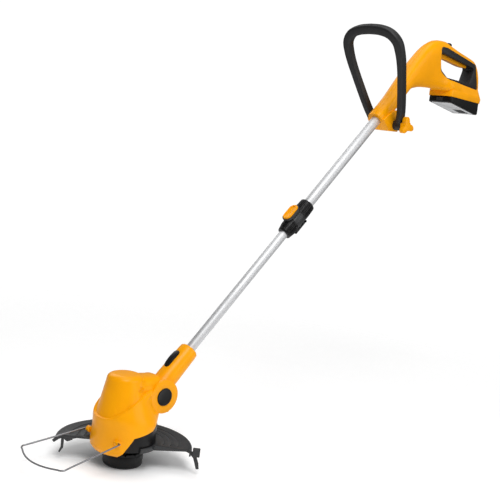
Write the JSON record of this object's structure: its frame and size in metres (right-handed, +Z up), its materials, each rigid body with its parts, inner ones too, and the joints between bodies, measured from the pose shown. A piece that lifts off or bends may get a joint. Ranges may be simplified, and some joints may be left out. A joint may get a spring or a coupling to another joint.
{
  "type": "string trimmer",
  "caption": "Cordless string trimmer with a telescopic shaft, tilting motor head, guard, wire edge guide, adjustable front loop and battery rear handle.",
  "frame": {"origin": "on the spool axis, at the flat underside of the spool cap that stands on the ground", "axes": "+Z up along the spool axis, +X back from the head towards the rear handle, +Y towards the user's right"},
  "size_m": [1.2717, 0.2699, 0.9932],
  "materials": {
    "yellow_plastic": "satin-gloss moulded shell",
    "black_plastic": "fine-grained black moulding",
    "dark_grey_plastic": "fine-grained dark grey moulding",
    "black_rubber": "soft-touch overmould",
    "satin_aluminium": "satin anodised tube",
    "bright_steel": "zinc plated",
    "black_steel": "black oxide",
    "copper_winding": "enamelled winding",
    "red_nylon": "nylon line",
    "pale_grey_plastic": "pale grey moulding",
    "blue_sleeve": "shrink sleeve"
  },
  "bodies": {
    "handle": {"upper_tube": "satin_aluminium", "clamp_body": "dark_grey_plastic", "clamp_upper_collar": "black_plastic", "clamp_lower_collar": "black_plastic", "clamp_spring": "bright_steel", "handle_left": "yellow_plastic", "handle_right": "yellow_plastic", "grip_liner": "black_rubber", "trigger_pin": "bright_steel", "trigger_spring": "bright_steel", "lock_spring": "bright_steel", "power_switch": "black_plastic", "terminal_block": "black_plastic", "handle_screws": "bright_steel"},
    "loop": {"loop_handle": "black_rubber", "loop_bolt": "bright_steel"},
    "knob": {"wing_knob": "yellow_plastic"},
    "trigger": {"trigger": "yellow_plastic"},
    "lock": {"lock_button": "black_plastic"},
    "battery": {"battery_case": "black_plastic", "battery_base": "pale_grey_plastic", "battery_cells": "blue_sleeve", "battery_contacts": "bright_steel"},
    "latch": {"battery_latch": "dark_grey_plastic"},
    "thumb_button": {"clamp_button": "yellow_plastic"},
    "shaft": {"lower_tube": "satin_aluminium", "lower_sleeve": "yellow_plastic", "angle_spring": "bright_steel", "detent_spring": "bright_steel"},
    "angle_button": {"angle_button": "black_plastic"},
    "detent": {"detent_rod": "bright_steel"},
    "head": {"head_skirt": "yellow_plastic", "motor_cover": "yellow_plastic", "guard_mount": "black_plastic", "guard": "dark_grey_plastic", "line_cutter": "black_steel", "cutter_screw": "black_steel", "motor_plate": "black_plastic", "motor_can": "bright_steel", "motor_end_cap": "black_plastic", "motor_bearings": "bright_steel", "pivot_pin": "bright_steel", "pivot_cap_left": "black_plastic", "pivot_cap_right": "black_plastic", "head_screws": "bright_steel", "detent_disc": "bright_steel"},
    "edge_guide": {"edge_guide": "bright_steel"},
    "spool": {"motor_armature": "copper_winding", "motor_shaft": "bright_steel", "drive_cup": "black_plastic", "spool_reel": "dark_grey_plastic", "cutting_line": "red_nylon", "spool_spring": "bright_steel", "spool_cap": "black_plastic", "line_eyelets": "bright_steel"}
  },
  "joints": [
    {"name": "telescope", "type": "slide", "parent": "handle", "child": "shaft", "axis": [0.6909, 0, 0.723], "range_m": [0, 0.24]},
    {"name": "head_tilt", "type": "hinge", "parent": "shaft", "child": "head", "pos_m": [0.066, 0, 0.144], "axis": [0, 1, 0], "range_deg": [-30, 15]},
    {"name": "guide_swing", "type": "hinge", "parent": "head", "child": "edge_guide", "pos_m": [-0.055, 0, 0.066], "axis": [0, 1, 0], "range_deg": [0, 75]},
    {"name": "spool_spin", "type": "hinge", "parent": "head", "child": "spool", "pos_m": [0, 0, 0.02], "axis": [0, 0, 1], "continuous": true},
    {"name": "angle_press", "type": "slide", "parent": "shaft", "child": "angle_button", "axis": [0.723, 0, -0.6909], "range_m": [0, 0.0024], "stiffness_N_per_m": 700, "springref_m": -0.003, "deforming": ["angle_spring"]},
    {"name": "thumb_press", "type": "slide", "parent": "handle", "child": "thumb_button", "axis": [0.723, 0, -0.6909], "range_m": [0, 0.0024], "stiffness_N_per_m": 700, "springref_m": -0.003, "deforming": ["clamp_spring"]},
    {"name": "loop_tilt", "type": "hinge", "parent": "handle", "child": "loop", "pos_m": [0.7083, 0, 0.76409], "axis": [0, 1, 0], "range_deg": [-42, 36]},
    {"name": "knob_turn", "type": "hinge", "parent": "loop", "child": "knob", "pos_m": [0.7083, -0.05, 0.76409], "axis": [0, 1, 0], "continuous": true},
    {"name": "trigger_pull", "type": "hinge", "parent": "handle", "child": "trigger", "pos_m": [0.8733, 0, 0.96309], "axis": [0, -1, 0], "range_deg": [0, 4.5], "stiffness_Nm_per_rad": 2, "springref_deg": -8.59, "deforming": ["trigger_spring"]},
    {"name": "lock_press", "type": "slide", "parent": "handle", "child": "lock", "axis": [0, 0, -1], "range_m": [0, 0.0024], "stiffness_N_per_m": 700, "springref_m": -0.003, "deforming": ["lock_spring"]},
    {"name": "battery_slide", "type": "slide", "parent": "handle", "child": "battery", "axis": [0, 0, -1], "range_m": [0, 0.06]},
    {"name": "latch_press", "type": "slide", "parent": "battery", "child": "latch", "axis": [1, 0, 0], "range_m": [0, 0.0018], "stiffness_N_per_m": 700, "springref_m": -0.003},
    {"name": "detent_lift", "type": "slide", "parent": "shaft", "child": "detent", "axis": [0.6909, 0, 0.723], "range_m": [0, 0.0036], "deforming": ["detent_spring"]}
  ],
  "couplings": [
    {"joint": "detent_lift", "follows": "angle_press", "ratio": 1.5}
  ]
}
